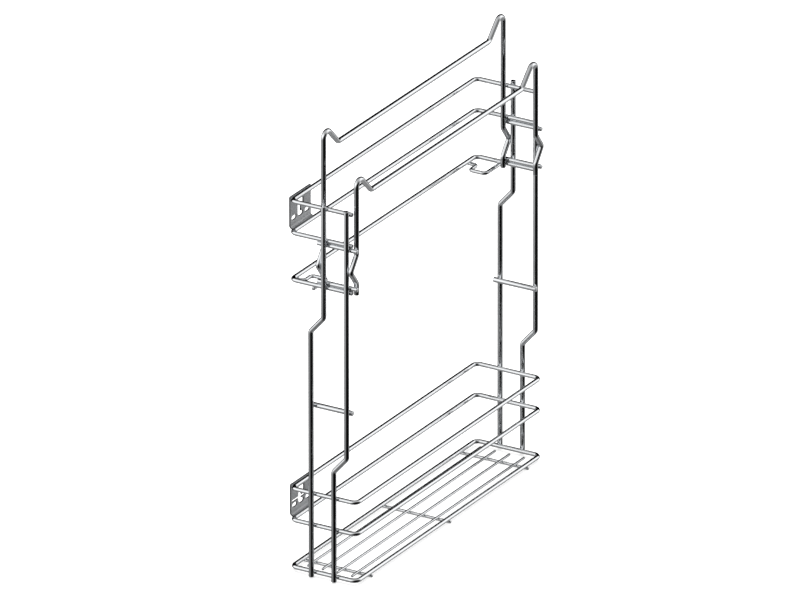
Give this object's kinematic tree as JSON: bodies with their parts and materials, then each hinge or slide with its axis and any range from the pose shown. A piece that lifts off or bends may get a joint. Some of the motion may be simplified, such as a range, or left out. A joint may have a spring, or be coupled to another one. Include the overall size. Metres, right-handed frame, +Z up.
{
  "type": "base cabinet pull-out wire insert",
  "caption": "Tall narrow chrome-wire insert for a kitchen base cabinet pull-out, with a bottle basket, guard wires, slotted mounting plates and a clip-in towel rail unit.",
  "frame": {"origin": "centre of the insert's bounding box, at the underside of the base cross wires", "axes": "+Z up, -Y towards the cabinet's front, +X towards the open side; the mounting plates and the closed guard side are at -X"},
  "size_m": [0.1052, 0.4914, 0.6265],
  "materials": {
    "chrome_wire": "bright chrome plating on round steel wire",
    "zinc_sheet": "zinc-plated sheet steel, satin"
  },
  "bodies": {
    "frame": {"upright_front_left": "chrome_wire", "upright_front_right": "chrome_wire", "upright_back_left": "chrome_wire", "upright_back_right": "chrome_wire", "brace_front": "chrome_wire", "brace_back": "chrome_wire", "basket_rim_ring": "chrome_wire", "basket_middle_ring": "chrome_wire", "basket_base_ring": "chrome_wire", "base_cross_wire_front": "chrome_wire", "base_cross_wire_middle": "chrome_wire", "base_cross_wire_back": "chrome_wire", "base_long_wire_1": "chrome_wire", "base_long_wire_2": "chrome_wire", "base_long_wire_3": "chrome_wire", "base_long_wire_4": "chrome_wire", "guard_wire_top": "chrome_wire", "guard_wire_middle": "chrome_wire", "guard_wire_bottom": "chrome_wire", "hook_wire_front": "chrome_wire", "hook_wire_back": "chrome_wire", "mounting_plate_upper": "zinc_sheet", "mounting_plate_lower": "zinc_sheet"},
    "towel_rail_unit": {"towel_rail_high": "chrome_wire", "towel_rail_low": "chrome_wire", "spring_leg_front_high": "chrome_wire", "spring_leg_back_high": "chrome_wire", "spring_leg_front_low": "chrome_wire", "spring_leg_back_low": "chrome_wire", "rail_bar_front_upper": "chrome_wire", "rail_bar_front_lower": "chrome_wire", "rail_bar_back_upper": "chrome_wire", "rail_bar_back_lower": "chrome_wire"}
  },
  "joints": [
    {"name": "towel_rail_unit_lift", "type": "slide", "parent": "frame", "child": "towel_rail_unit", "axis": [0, 0, 1], "range_m": [0, 0.14], "deforming": ["spring_leg_front_high", "spring_leg_back_high", "spring_leg_front_low", "spring_leg_back_low", "rail_bar_front_upper", "rail_bar_front_lower", "rail_bar_back_upper", "rail_bar_back_lower"]}
  ]
}
